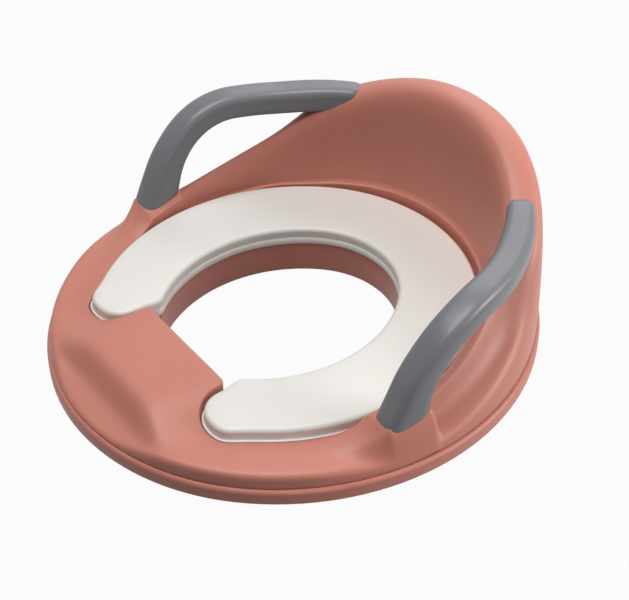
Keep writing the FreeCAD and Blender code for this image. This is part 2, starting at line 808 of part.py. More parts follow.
def make_screw(number, place):
    """One screw, turned from a stepped profile, head down."""
    body = DOC.addObject("PartDesign::Body", f"screw_{number}")
    sketch = body.newObject("Sketcher::SketchObject", f"screw_profile_{number}")
    plane = [o for o in body.Origin.OriginFeatures if o.Role == "XZ_Plane"][0]
    sketch.AttachmentSupport = [(plane, "")]
    sketch.MapMode = "FlatFace"
    head = size("screw_head")
    shank = size("screw_round")
    thick = size("screw_head_thick")
    top = size("band_height") + size("screw_bite")
    corners = [(0, 0), (head, 0), (head, thick), (shank, thick), (shank, top), (0, top)]
    for index, (x, y) in enumerate(corners):
        end = corners[(index + 1) % len(corners)]
        sketch.addGeometry(Part.LineSegment(Vector(x, y, 0), Vector(end[0], end[1], 0)), False)
    for index in range(6):
        sketch.addConstraint(Sketcher.Constraint("Coincident", index, 2, (index + 1) % 6, 1))
    for index in range(5):
        kind = ("Horizontal", "Vertical")[index % 2]
        sketch.addConstraint(Sketcher.Constraint(kind, index))
    sketch.addConstraint(Sketcher.Constraint("Coincident", 0, 1, -1, 1))
    sketch.addConstraint(Sketcher.Constraint("PointOnObject", 4, 2, -2))
    for kind, index, value, formula in (
        ("DistanceX", 0, head, "Sizes.screw_head"),
        ("DistanceY", 1, thick, "Sizes.screw_head_thick"),
        ("DistanceX", 4, -shank, "-Sizes.screw_round"),
        ("DistanceY", 3, top - thick,
         "Sizes.band_height + Sizes.screw_bite - Sizes.screw_head_thick"),
    ):
        which = sketch.addConstraint(Sketcher.Constraint(kind, index, 1, index, 2, value))
        sketch.setExpression(f"Constraints[{which}]", formula)
    turned = body.newObject("PartDesign::Revolution", f"turned_screw_{number}")
    turned.Profile = sketch
    turned.ReferenceAxis = (sketch, ["V_Axis"])
    turned.Angle = 360.0
    body.Placement = Placement(Vector(place[0], place[1], 0), Rotation())
    body.setExpression("Placement.Base.z", "Sizes.pan_bottom")
    DOC.recompute()
    return body


def check(parts):
    """Stops the build if any object failed or any sub-part isn't a sound solid."""
    for item in DOC.Objects:
        if "Invalid" in item.State or "Error" in item.State:
            raise RuntimeError(f"{item.Name} failed: {item.State}")
    for item in parts:
        shape = item.Shape
        if shape.isNull() or not shape.isValid() or len(shape.Solids) != 1:
            raise RuntimeError(f"{item.Label} isn't one sound solid")


def main():
    """Builds every sub-part, checks it and writes it."""
    parts = [make_shell(), make_cushion(), make_base()]
    for name, side in SIDES:
        parts.append(add_shape(f"grip_{name}", grip_solid(side, 0.0)))
    for quarter in range(4):
        parts.append(pad_solid(f"pad_{quarter + 1}", quarter, "Sizes.pad_bottom", "Sizes.pad_thick"))
    for number, place in enumerate(screw_places(), start=1):
        parts.append(make_screw(number, place))
    DOC.recompute()
    for item in parts:
        shape = item.Shape
        print(item.Label, shape.isValid(), len(shape.Solids), len(shape.Faces), round(shape.Volume))
    check(parts)
    os.makedirs("parts", exist_ok=True)
    for item in parts:
        item.Shape.exportStep(f"parts/{item.Label}.step")


main()
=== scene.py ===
import logging
import math
from dataclasses import dataclass, field
from enum import Enum

import bpy
import numpy as np
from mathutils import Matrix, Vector


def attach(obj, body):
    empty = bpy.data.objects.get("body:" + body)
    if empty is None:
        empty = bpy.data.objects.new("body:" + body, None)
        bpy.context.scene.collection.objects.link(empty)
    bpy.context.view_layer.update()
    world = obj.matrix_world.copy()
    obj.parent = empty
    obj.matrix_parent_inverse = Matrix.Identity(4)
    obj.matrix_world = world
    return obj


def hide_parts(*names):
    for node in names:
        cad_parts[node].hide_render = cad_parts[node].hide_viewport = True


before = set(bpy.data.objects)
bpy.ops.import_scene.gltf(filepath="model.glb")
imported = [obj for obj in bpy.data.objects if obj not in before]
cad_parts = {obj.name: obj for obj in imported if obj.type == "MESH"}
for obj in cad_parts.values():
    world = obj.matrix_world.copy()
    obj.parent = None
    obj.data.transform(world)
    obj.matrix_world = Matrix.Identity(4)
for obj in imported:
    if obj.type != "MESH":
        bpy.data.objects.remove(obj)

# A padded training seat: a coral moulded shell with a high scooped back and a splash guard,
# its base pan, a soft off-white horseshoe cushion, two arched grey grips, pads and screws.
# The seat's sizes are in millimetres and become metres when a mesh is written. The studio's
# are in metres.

Piece = bpy.types.Object
Tree = bpy.types.NodeTree
Socket = bpy.types.NodeSocket

LOG = logging.getLogger("training_seat")
MM = 0.001
BODY = "root"


# Plane geometry


def smooth(value: np.ndarray, start: float, end: float) -> np.ndarray:
    """Gives a smooth S: 0 before start, 1 after end, 3s^2 - 2s^3 between them."""
    share = np.clip((value - start) / (end - start), 0.0, 1.0)
    return share * share * (3.0 - 2.0 * share)


def mix(first: np.ndarray, second: np.ndarray, share: np.ndarray) -> np.ndarray:
    """Gives the value that lies at a share of the way from first to second."""
    return first + (second - first) * share


def stacked(rows: list, like: np.ndarray) -> np.ndarray:
    """Stacks pairs of distance and height, each spread to the shape of an array."""
    return np.array([np.broadcast_arrays(*pair, like)[:2] for pair in rows])


def mirrored(half: np.ndarray) -> np.ndarray:
    """Closes the columns with X > 0 by their mirror image. The end columns get X = 0."""
    half[[0, -1], :, 0] = 0.0
    return np.concatenate([half, half[-2:0:-1] * np.array([-1.0, 1.0, 1.0])])


def lengths(rows: np.ndarray) -> np.ndarray:
    """Gives the length of each row of numbers, as a column."""
    return np.linalg.norm(rows, axis=1, keepdims=True)


def walk_of(points: np.ndarray) -> np.ndarray:
    """Gives the distance walked from a line's start to each of its points."""
    return np.concatenate([[0.0], np.cumsum(lengths(np.diff(points, axis=0)))])


def quarter(first: float, last: float, count: int) -> list:
    """Gives 1 - sine and 1 - cosine of evenly spaced angles in degrees, for round edges."""
    turns = np.radians(np.linspace(first, last, count))
    return [(1.0 - math.sin(turn), 1.0 - math.cos(turn)) for turn in turns]


def arc(centre: tuple, radius: float, start: float, end: float, count: int) -> np.ndarray:
    """Gives points of a circular arc in plan.

    Args:
        centre: the circle's centre, (x, y).
        radius: the circle's radius.
        start: first angle, degrees from +X towards +Y.
        end: last angle, in degrees.
        count: number of points.

    Returns:
        An array (count, 2): centre plus radius times (cosine, sine) of evenly spaced angles.
    """
    angle = np.radians(np.linspace(start, end, count))
    ring = np.stack([np.cos(angle), np.sin(angle)], axis=1)
    return np.asarray(centre) + radius * ring


def resample(points: np.ndarray, share: np.ndarray) -> np.ndarray:
    """Walks an open line of points to given shares of its length.

    Args:
        points: the line, (count, dimensions).
        share: places along it, 0 at its start and 1 at its end.

    Returns:
        The points there, interpolated along the summed distances between neighbours.
    """
    walked = walk_of(points)
    keep = np.concatenate([[True], np.diff(walked) > 1e-9])
    walked, points = walked[keep], points[keep]
    columns = [np.interp(share * walked[-1], walked, column) for column in points.T]
    return np.stack(columns, axis=1)


def blur_closed(values: np.ndarray, width: float) -> np.ndarray:
    """Averages a closed row of values with a bell, exp(-s^2 / 2 w^2) over the steps s.

    Args:
        values: the row, whose last value is a neighbour of its first.
        width: the bell's width w, in steps.

    Returns:
        The averaged row, of the same length.
    """
    count = len(values)
    away = np.minimum(np.arange(count), count - np.arange(count))
    bell = np.exp(-0.5 * (away / width) ** 2)
    return np.real(np.fft.ifft(np.fft.fft(values) * np.fft.fft(bell / bell.sum())))


@dataclass(frozen=True)
class Oval:
    """An oval of four tangent arcs that join where their radii point at 45 degrees."""

    half_width: float
    half_length: float
    centre_y: float = 0.0

    def grown(self, by: float) -> "Oval":
        """Gives the parallel oval that lies outside this one by a distance."""
        return Oval(self.half_width + by, self.half_length + by, self.centre_y)

    @property
    def shift(self) -> float:
        """Distance of the four arc centres from the oval's own centre."""
        return (self.half_length - self.half_width) * math.sqrt(0.5) / (math.sqrt(2.0) - 1.0)

    def reach(self, angle: np.ndarray) -> np.ndarray:
        """Gives the distance from the frame's origin to the oval along rays.

        A ray meets a circle with centre c and radius R at n + sqrt(n^2 - c^2 + R^2), where n
        is the centre's part along the ray. The end arcs count beyond the joins, the side
        arcs between them.

        Args:
            angle: ray directions in radians from +Y towards +X.

        Returns:
            Distances, in the shape of angle.
        """
        along_x, along_y = np.sin(angle), np.cos(angle)
        shift = self.shift
        side = np.where(along_x >= 0.0, 1.0, -1.0)

        def meet(x_value: np.ndarray, y_value: np.ndarray, radius: float) -> np.ndarray:
            """Distance to the far side of one circle."""
            near = x_value * along_x + y_value * along_y
            return near + np.sqrt(near**2 - x_value**2 - y_value**2 + radius**2)

        found = meet(-side * shift, self.centre_y + 0.0 * side, self.half_width + shift)
        join = (self.half_width + shift) * math.sqrt(0.5)
        for end in (1.0, -1.0):
            far = meet(0.0 * side, self.centre_y + end * shift, self.half_length - shift)
            found = np.where(end * (far * along_y - self.centre_y) > join, far, found)
        return found

    def arm_arc(self, side: float, radius: float) -> tuple:
        """Fits an arc that touches the line x = side and, from inside, the front end arc.

        Args:
            side: the line's x.
            radius: the arc's radius.

        Returns:
            Its centre, its angle at the oval in degrees, and the oval's direction there.
        """
        end_y, end_round = self.centre_y - self.shift, self.half_length - self.shift
        x_value = side + radius
        y_value = end_y - math.sqrt((end_round - radius) ** 2 - x_value**2)
        touch = math.atan2(y_value - end_y, x_value)
        across, along = end_round * math.cos(touch), end_y + end_round * math.sin(touch)
        return (x_value, y_value), 360.0 + math.degrees(touch), math.atan2(across, along)

    def at(self, angle: np.ndarray) -> np.ndarray:
        """Gives the plan points where rays from the origin meet the oval."""
        reach = self.reach(angle)
        return np.stack([reach * np.sin(angle), reach * np.cos(angle)], axis=-1)


def basis(count: int, place: np.ndarray) -> np.ndarray:
    """Gives the weights of a clamped cubic B-spline with evenly spaced knots.

    Cox and de Boor's recursion: the weight of a pole at one degree is the sum of its own and
    its neighbour's weight at the degree below, each times its share of the knots' distance.

    Args:
        count: number of poles.
        place: parameter values from 0 to count - 3, in any shape.

    Returns:
        An array (count, *place.shape) that adds up to 1 over its first axis.
    """
    degree = 3
    spans = count - degree
    knots = np.concatenate([np.zeros(degree), np.arange(spans + 1), np.full(degree, spans)])
    place = np.clip(place, 0.0, spans - 1e-9)
    weights = [((place >= low) & (place < high)) * 1.0 for low, high in zip(knots, knots[1:])]
    for level in range(1, degree + 1):
        raised = []
        for index in range(len(weights) - 1):
            rise = knots[index + level] - knots[index]
            fall = knots[index + level + 1] - knots[index + 1]
            total = np.zeros_like(place)
            if rise > 0:
                total += (place - knots[index]) / rise * weights[index]
            if fall > 0:
                total += (knots[index + level + 1] - place) / fall * weights[index + 1]
            raised.append(total)
        weights = raised
    return np.stack(weights)


# Meshes


def linked(name: str, data: bpy.types.ID) -> Piece:
    """Makes an object and puts it into the scene.

    Args:
        name: the object's name.
        data: its mesh, camera or lamp.

    Returns:
        The object.
    """
    made = bpy.data.objects.new(name, data)
    bpy.context.scene.collection.objects.link(made)
    return made


def make_piece(name: str, points: np.ndarray, faces: np.ndarray) -> Piece:
    """Puts a surface into a mesh object that rides on the seat.

    Args:
        name: the piece's name.
        points: vertices in millimetres, (count, 3).
        faces: quads or triangles as rows of vertex numbers, (count, 4) or (count, 3).

    Returns:
        The object, smooth shaded, at the origin, with its faces outwards.
    """
    mesh = bpy.data.meshes.new(name)
    corner = points[faces]
    across = np.cross(corner[:, 1] - corner[:, 0], corner[:, 2] - corner[:, 0])
    across += np.cross(corner[:, 2] - corner[:, 0], corner[:, -1] - corner[:, 0])
    if np.einsum("ij,ij->", corner.mean(axis=1), across) < 0.0:
        faces = faces[:, ::-1]
    mesh.from_pydata((points * MM).tolist(), [], faces.tolist())
    mesh.shade_smooth()
    mesh.validate()
    mesh.update()
    piece = linked(name, mesh)
    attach(piece, BODY)
    return piece


def grid_faces(rows: int, columns: int, wrap_rows: bool, wrap_columns: bool) -> np.ndarray:
    """Numbers the quads of a grid of vertices, which may close on itself either way.

    Args:
        rows: the grid's first count.
        columns: its second count, which runs fastest.
        wrap_rows: whether the last row joins the first.
        wrap_columns: whether the last column joins the first.

    Returns:
        Rows of four vertex numbers.
    """
    row = np.arange(rows if wrap_rows else rows - 1)[:, None]
    column = np.arange(columns if wrap_columns else columns - 1)[None, :]
    below, beside = (row + 1) % rows, (column + 1) % columns
    quads = [row * columns + column, below * columns + column]
    quads += [below * columns + beside, row * columns + beside]
    return np.stack(np.broadcast_arrays(*quads), axis=-1).reshape(-1, 4)


def merged_copy(node: str, sharp: float) -> Piece:
    """Copies a CAD node's mesh, joins its loose triangles and shades it smooth.

    Args:
        node: the node's name.
        sharp: edges that turn by more than this angle in degrees stay crisp.

    Returns:
        The piece that stands for the node.
    """
    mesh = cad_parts[node].data
    flat = np.empty(len(mesh.vertices) * 3, np.float32)
    mesh.vertices.foreach_get("co", flat)
    points = flat.reshape(-1, 3) / MM
    corners = np.empty(len(mesh.loops), np.int32)
    mesh.loops.foreach_get("vertex_index", corners)
    rounded = np.round(points, 3)
    _, first, number = np.unique(rounded, axis=0, return_index=True, return_inverse=True)
    faces = number.reshape(-1)[corners].reshape(-1, 3)
    whole = (faces[:, 0] != faces[:, 1]) & (faces[:, 1] != faces[:, 2])
    whole &= faces[:, 0] != faces[:, 2]
    piece = make_piece(f"{node}_moulding", points[first], faces[whole])
    piece.data.set_sharp_from_angle(angle=math.radians(sharp))
    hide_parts(node)
    return piece


# Materials


def linear(code: str, alpha: float = 1.0) -> tuple:
    """Turns an sRGB hex code into linear light.

    Args:
        code: the code, such as #CA8271.
        alpha: the opacity.

    Returns:
        Linear red, green, blue and the opacity.
    """
    parts = [int(code[i : i + 2], 16) / 255.0 for i in (1, 3, 5)]
    turned = [p / 12.92 if p <= 0.04045 else ((p + 0.055) / 1.055) ** 2.4 for p in parts]
    return (*turned, alpha)


def add(tree: Tree, kind: str, settings: dict | None, links: dict | None) -> bpy.types.Node:
    """Adds a node to a tree.

    Args:
        tree: the node tree.
        kind: the node's type, such as ShaderNodeBump.
        settings: attributes, or values of inputs by their name or number.
        links: output sockets by the name or number of the input that they feed.

    Returns:
        The node.
    """
    node = tree.nodes.new(kind)
    for key, value in (settings or {}).items():
        if isinstance(key, str) and key not in node.inputs:
            setattr(node, key, value)
        else:
            node.inputs[key].default_value = value
    for key, socket in (links or {}).items():
        tree.links.new(socket, node.inputs[key])
    return node


def new_tree(name: str) -> tuple:
    """Makes a material with an empty tree.

    Args:
        name: the material's name.

    Returns:
        The material, its tree and the socket of its object coordinates.
    """
    material = bpy.data.materials.new(name)
    material.use_nodes = True
    tree = material.node_tree
    tree.nodes.clear()
    return material, tree, add(tree, "ShaderNodeTexCoord", None, None).outputs["Object"]


@dataclass(frozen=True)
class Moulded:
    """An injection-moulded plastic: an even colour under a fine spark-eroded grain."""

    name: str
    colour: str
    shade: str
    roughness: float
    grain_mm: float
    depth_mm: float
    glow: float = 0.0
    sheen: float = 0.0
    mottle_mm: float = 60.0
    ior: float = 1.49
    drift: float = 0.05
    relief: float = 0.35

    def material(self) -> bpy.types.Material:
        """Builds the material.

        Returns:
            The material: two close shades mottled over some centimetres, a roughness that
            drifts with them, and a bump of the grain's size.
        """
        material, tree, place = new_tree(self.name)
        clouds = {"Scale": 1.0 / (self.mottle_mm * MM), "Detail": 3.0}
        cloud = add(tree, "ShaderNodeTexNoise", clouds, {"Vector": place}).outputs["Fac"]
        grains = {"Scale": 1.0 / (self.grain_mm * MM), "Detail": 2.0}
        grain = add(tree, "ShaderNodeTexNoise", grains, {"Vector": place}).outputs["Fac"]
        shades = {"data_type": "RGBA", 6: linear(self.colour), 7: linear(self.shade)}
        span = {"To Min": self.roughness - self.drift, "To Max": self.roughness + self.drift}
        relief = {"Strength": self.relief, "Distance": self.depth_mm * MM}
        settings = {
            "IOR": self.ior,
            "Subsurface Weight": self.glow,
            "Subsurface Radius": (4.0 * MM, 2.0 * MM, 1.5 * MM),
            "Subsurface Scale": 1.0,
            "Sheen Weight": self.sheen,
        }
        links = {
            "Base Color": add(tree, "ShaderNodeMix", shades, {0: cloud}).outputs[2],
            "Roughness": add(tree, "ShaderNodeMapRange", span, {"Value": cloud}).outputs["Result"],
            "Normal": add(tree, "ShaderNodeBump", relief, {"Height": grain}).outputs["Normal"],
        }
        shader = add(tree, "ShaderNodeBsdfPrincipled", settings, links)
        add(tree, "ShaderNodeOutputMaterial", None, {"Surface": shader.outputs["BSDF"]})
        return material


@dataclass(frozen=True)
class PlatedSteel:
    """Zinc-plated steel: a bright metal with faint turning marks."""

    name: str
    colour: str
    roughness: float
    marks_mm: float = 2.0
    drift: float = 0.08

    def material(self) -> bpy.types.Material:
        """Builds the material.

        Returns:
            The material: a bright metal whose roughness drifts over a few millimetres.
        """
        material, tree, place = new_tree(self.name)
        marks = {"Scale": 1.0 / (self.marks_mm * MM), "Detail": 2.0}
        mark = add(tree, "ShaderNodeTexNoise", marks, {"Vector": place}).outputs["Fac"]
        span = {"To Min": self.roughness - self.drift, "To Max": self.roughness + self.drift}
        dull = add(tree, "ShaderNodeMapRange", span, {"Value": mark}).outputs["Result"]
        settings = {"Base Color": linear(self.colour), "Metallic": 1.0}
        shader = add(tree, "ShaderNodeBsdfPrincipled", settings, {"Roughness": dull})
        add(tree, "ShaderNodeOutputMaterial", None, {"Surface": shader.outputs["BSDF"]})
        return material


class Finish(Enum):
    """The seat's finishes, each named for its real material."""

    # Polypropylene with a coral masterbatch: satin, a little light enters it
    CORAL = Moulded("coral_polypropylene_moulded", "#CA8271", "#C67B6B", 0.45, 0.9, 0.03, 0.04)
    # Polyurethane foam that formed its own skin in the mould: soft gloss, fine pores
    FOAM = Moulded("integral_skin_foam", "#EDEBE6", "#E9E6E0", 0.38, 0.7, 0.02, 0.08, 0.05)
    # Thermoplastic elastomer over a hard core: grey, satin, nearly without texture
    GRIP = Moulded("grey_soft_touch_elastomer", "#75777B", "#707276", 0.33, 0.6, 0.02)
    # Thermoplastic rubber: matt, dark highlights
    RUBBER = Moulded("grey_thermoplastic_rubber", "#6F6F71", "#68686B", 0.62, 0.5, 0.04)
    # Screws pressed from wire, then zinc plated
    STEEL = PlatedSteel("zinc_plated_steel", "#C9CACD", 0.34)

    def dress(self, piece: Piece) -> None:
        """Gives a piece this finish alone.

        Args:
            piece: the piece, which loses what it wore before.
        """
        found = bpy.data.materials.get(self.value.name)
        piece.data.materials.clear()
        piece.data.materials.append(found or self.value.material())


# The seat


@dataclass
class Seat:
    """Sizes that several pieces share, as in the solids."""

    rim: Oval = Oval(165.0, 175.0)
    cushion: Oval = Oval(128.0, 138.0, -7.5)
    opening: Oval = Oval(74.0, 89.0, -13.5)
    seam: float = 20.0
    deck: float = 29.5
    recess_floor: float = 25.0
    guard_line: float = 90.0
    slot: float = 48.0
    play: float = 0.8
    arm_round: float = 20.0
    arm_square: float = 2.2
    arm_corner: tuple = (82.0, -115.0)
    arm_corner_width: float = 8.0
    arm_tip: float = -97.0

    def squared(self, line: np.ndarray) -> np.ndarray:
        """Pushes an outline out at an arm's outer front corner, as a bell of distance.

        Args:
            line: points in plan, (count, 2).

        Returns:
            The points, moved forwards and outwards by up to arm_square.
        """
        off = line - np.array(self.arm_corner)
        bell = np.exp(-0.5 * (lengths(off) / self.arm_corner_width) ** 2)
        outward = np.array([0.6, -0.8])
        return line + outward * bell * self.arm_square


@dataclass
class Shell:
    """The coral upper moulding, from its edge at the seam to the collar's lower edge."""

    seat: Seat = field(default_factory=Seat)
    edge_inset: float = 2.6
    flange_rise: float = 8.2
    shoulder_rise: float = 2.0
    foot_rise: float = 4.0
    back_height: float = 137.5
    wall_lean: float = 4.0
    crest_rise: float = 17.5
    root_level: float = 25.0
    valley_start: float = 6.0
    crest_out: float = 13.5
    crown_out: float = 18.5
    face_out: float = 7.5
    foot_out: float = 2.2
    crest_start: float = -60.0
    crest_bend: float = 236.0
    crest_slope: float = 37.5
    crest_top_bend: float = 25.0
    valley_inset: float = 20.0
    valley_climb: float = 0.7
    root_top: float = 44.0
    root_tilt: tuple = (0.17, 0.15)
    root_front: float = -38.0
    root_slope: tuple = (12.0, 11.0, 0.1)
    root_rear: tuple = (-9.0, 5.5)
    root_outer: tuple = (-13.0, 8.0)
    root_spread: tuple = (0.4, 0.5)
    root_inner: tuple = (4.5, 4.0)
    root_drop: float = 18.0
    root_blend: float = 5.0
    root_length: float = 35.0
    crest_window: tuple = (101.0, 114.0)
    guard_front: float = 149.0
    guard_run: float = 3.8
    guard_rise: float = 12.0
    guard_flange: float = 4.2
    guard_start: float = 0.96
    guard_ledge: float = 7.0
    guard_sector: float = 60.0
    guard_reach: float = -60.0
    guard_swell: tuple = (0.99, 1.0, 1.0, 1.0, 1.0)
    guard_side: tuple = (48.0, 62.0)
    guard_fan: float = 105.0
    fan_widths: tuple = (0.4, 0.2)
    corner_round: float = 5.0
    lip_round: float = 1.3
    guard_lip_round: float = 3.0
    guard_fade: tuple = (97.0, 108.0)
    collar_wall: float = 3.0
    collar_round: float = 1.2
    web: tuple = ((1.6, 0.4), (0.5, 0.15))
    inner_levels: tuple = (14.0, 7.0)
    outer_level: float = 8.0
    arm_touch: float = 82.0
    arm_front: float = 67.0
    arm_bearing: float = 62.0
    slot_side: float = 60.0
    evening: float = 9.0
    crowding: float = 0.035
    opening_corner: float = 4.0
    opening_centre: tuple = (0.0, -40.0)
    guard_inner: float = 2.8
    deck_inset: float = 6.0
    side_window: tuple = (44.0, 64.0)
    front_window: tuple = (102.0, 126.0)
    stations: int = 96
    table_size: int = 1440
    half: int = 470
    skin_rows: int = 56
    way_power: float = 2.0
    way_columns: tuple = (110.0, 200.0)
    rim_angles: tuple = (0.0, 6.0, 9.0, 22.0, 30.0, 61.0)

    def crest_height(self, y_value: np.ndarray) -> np.ndarray:
        """Height of the crest over Y.

        Side view: level, an arc that turns up, a straight climb, an arc that turns level.

        Args:
            y_value: places along Y.

        Returns:
            Heights, in the shape of y_value.
        """
        low = self.seat.seam + self.crest_rise
        slope = math.radians(self.crest_slope)
        bend, top_bend, top = self.crest_bend, self.crest_top_bend, self.back_height
        bend_y = self.crest_start + bend * math.sin(slope)
        bend_z = low + bend * (1.0 - math.cos(slope))
        slope_z = top - top_bend * (1.0 - math.cos(slope))
        slope_y = bend_y + (slope_z - bend_z) / math.tan(slope)
        level_y = slope_y + top_bend * math.sin(slope)
        from_start = np.clip(y_value - self.crest_start, 0.0, bend)
        to_level = np.clip(level_y - y_value, 0.0, top_bend)
        height = low + bend - np.sqrt(bend**2 - from_start**2)
        height = np.where(y_value > bend_y, bend_z + (y_value - bend_y) * math.tan(slope), height)
        turned = top - top_bend + np.sqrt(top_bend**2 - to_level**2)
        height = np.where(y_value > slope_y, turned, height)
        return np.where(y_value > level_y, top, height)

    def back(self, rim: np.ndarray, cushion: np.ndarray, crest: np.ndarray) -> list:
        """Poles behind the grips: a tall wall, a broad crown and the backrest's face.

        Args:
            rim: distance of the rim from the axis.
            cushion: distance of the cushion's outline.
            crest: the crest's height.

        Returns:
            Ten pairs of distance and height, from the seam inwards.
        """
        seam = self.seat.seam
        rise = crest - seam
        edge = rim - self.edge_inset
        face, foot = cushion + self.face_out, cushion + self.foot_out
        return [
            (edge, seam),
            (edge, mix(seam, crest, 0.25)),
            (edge - 0.3 * self.wall_lean, mix(seam, crest, 0.55)),
            (edge - 0.8 * self.wall_lean, mix(seam, crest, 0.85)),
            (edge - 1.5 * self.wall_lean, crest - 0.01 * rise),
            (cushion + self.crown_out, crest + 0.01 * rise),
            (face, crest - 0.03 * rise),
            (mix(foot, face, 0.7), mix(seam, crest, 0.55)),
            (foot - 0.6, self.seat.recess_floor + 0.4 * self.foot_rise),
            (cushion - self.deck_inset, self.seat.deck),
        ]

    def side(self, rim: np.ndarray, cushion: np.ndarray, crest: np.ndarray) -> list:
        """Poles under the grips: a flange, a valley, a ridge and its slanting inner face.

        Args:
            rim: distance of the rim from the axis.
            cushion: distance of the cushion's outline.
            crest: the crest's height.

        Returns:
            Ten pairs of distance and height, from the seam inwards.
        """
        seam, deck = self.seat.seam, self.seat.deck
        edge = rim - self.edge_inset
        valley = rim - self.valley_inset
        line, foot = cushion + self.crest_out, cushion + self.foot_out
        climb = np.maximum(0.0, crest - (seam + self.crest_rise + self.valley_start))
        flange = seam + self.flange_rise + self.valley_climb * climb
        slant = 0.4 * self.crest_out * smooth(climb, 0.0, self.crest_out)
        return [
            (edge, seam),
            (edge, mix(seam, flange, 0.6)),
            (mix(edge, valley, 0.2), flange + 0.3),
            (mix(edge, valley, 0.6), flange + 1.2),
            (mix(valley, line, 0.1), mix(flange, crest, 0.33)),
            (line, crest + 3.8),
            (mix(foot, line, 0.35), crest + 1.0 - slant),
            (mix(foot, line, 0.1), mix(deck, crest, 0.5)),
            (foot, self.seat.recess_floor + self.foot_rise),
            (cushion - self.deck_inset, deck),
        ]

    def shoulder(self, rim: np.ndarray) -> list:
        """Poles between the grips and the splash guard: a round shoulder, a level deck.

        Args:
            rim: distance of the rim from the axis.

        Returns:
            Ten pairs of distance and height, from the seam inwards.
        """
        seam = self.seat.seam
        level = self.seat.deck + self.shoulder_rise
        turn = level - seam
        edge = rim - self.edge_inset
        start = edge - 1.2 * turn
        inner = self.seat.guard_line - self.guard_inner
        rows = [
            (edge, seam),
            (edge, mix(seam, level, 0.55)),
            (edge - 0.08 * turn, mix(seam, level, 0.9)),
            (edge - 0.5 * turn, mix(seam, level, 0.99)),
            (start, level),
        ]
        return rows + [(mix(start, inner, 0.2 * step), level) for step in range(1, 6)]

    def guard(self, rim: np.ndarray, ahead: np.ndarray) -> list:
        """Poles of the splash guard: a flange in front, a steep flank and a plateau.

        Args:
            rim: distance of the rim from the axis.
            ahead: directions in radians from the front.

        Returns:
            Ten pairs of distance and height, from the seam inwards.
        """
        seam, deck = self.seat.seam, self.seat.deck
        flange, top = seam + self.guard_flange, deck + self.guard_rise
        edge = rim - self.edge_inset
        front = self.guard_front / np.maximum(np.cos(ahead), 0.5)
        flank = np.minimum(front, edge - self.guard_ledge)
        start = flank - self.guard_run
        inner = self.seat.guard_line - self.guard_inner
        rows = [
            (edge, seam),
            (edge, mix(seam, flange, 0.7)),
            (mix(edge, flank, 0.35), flange),
            (flank + self.guard_run, flange),
            (start, mix(deck, top, self.guard_start)),
        ]
        for step, height in enumerate(self.guard_swell, start=1):
            rows.append((mix(start, inner, 0.2 * step), mix(deck, top, height)))
        return rows

    def poles(self, angle: np.ndarray) -> np.ndarray:
        """Poles of the skin's section at given angles.

        The four kinds of section are blended by smooth steps over the angle from the back.

        Args:
            angle: directions in radians from +Y towards +X.

        Returns:
            An array (2, 11, *angle.shape) of distances from the axis and heights.
        """
        seat = self.seat
        degrees = np.abs(np.degrees(np.arctan2(np.sin(angle), np.cos(angle))))
        ahead = 180.0 - degrees
        rim, cushion = seat.rim.reach(angle), seat.cushion.reach(angle)
        to_side = smooth(degrees, *self.side_window)
        line = cushion + mix(self.crown_out, self.crest_out, to_side)
        crest = self.crest_height(line * np.cos(angle))
        crest = np.maximum(crest, seat.seam + self.root_level)
        level = seat.deck + self.shoulder_rise
        crest = mix(crest, level, smooth(degrees, *self.crest_window))
        back = stacked(self.back(rim, cushion, crest), rim)
        side = stacked(self.side(rim, cushion, crest), rim)
        guard = stacked(self.guard(rim, np.radians(ahead)), rim)
        beyond = np.maximum(0.0, guard[:, 0] - self.guard_fan)
        beside = guard[:, 0] * np.abs(np.sin(angle))
        beside = np.where(ahead < self.guard_sector, beside, np.inf)
        start = self.guard_side[0] - self.fan_widths[0] * beyond
        end = self.guard_side[1] + self.fan_widths[1] * beyond
        fall = smooth(beside, start, end)[:, None]
        front = mix(guard, stacked(self.shoulder(rim), rim), fall)
        to_front = smooth(degrees, *self.front_window)
        rows = mix(mix(back, side, to_side), front, to_front)
        last = stacked([(seat.slot, seat.deck)], rim)
        return np.moveaxis(np.concatenate([rows, last]), 1, 0)

    def table(self) -> np.ndarray:
        """Poles all round, smoothed along the angle as a cubic surface does.

        Each pole row is a weighted mean of its neighbours' with the bell of a cubic spline
        whose columns are one station apart. There are twice as many as in the solid.

        Returns:
            An array (2, 11, table_size); its last axis starts at the back.
        """
        angle = np.arange(self.table_size) * 2.0 * math.pi / self.table_size
        poles = self.poles(angle)
        step = self.table_size / self.stations
        away = np.minimum(np.arange(self.table_size), self.table_size - np.arange(self.table_size))
        away = away / step
        near = 2.0 / 3.0 - away**2 + away**3 / 2.0
        far = np.maximum(2.0 - away, 0.0) ** 3 / 6.0
        bell = np.where(away < 1.0, near, far)
        bell /= bell.sum()
        return np.real(np.fft.ifft(np.fft.fft(poles) * np.fft.fft(bell)))

    def skin(self, table: np.ndarray, angle: np.ndarray, place: np.ndarray) -> np.ndarray:
        """Gives the distance from the axis and the height of points of the skin.

        Args:
            table: the smoothed poles.
            angle: directions in radians from +Y towards +X.
            place: places along the section, 0 at the seam and 8 at the inner end.

        Returns:
            An array (2, *angle.shape): the poles at that angle times their spline weights.
        """
        spot = np.mod(angle / (2.0 * math.pi), 1.0) * self.table_size
        low = np.floor(spot).astype(int) % self.table_size
        share = spot - np.floor(spot)
        poles = mix(table[:, :, low], table[:, :, (low + 1) % self.table_size], share)
        return (poles * basis(poles.shape[1], place)).sum(axis=1)

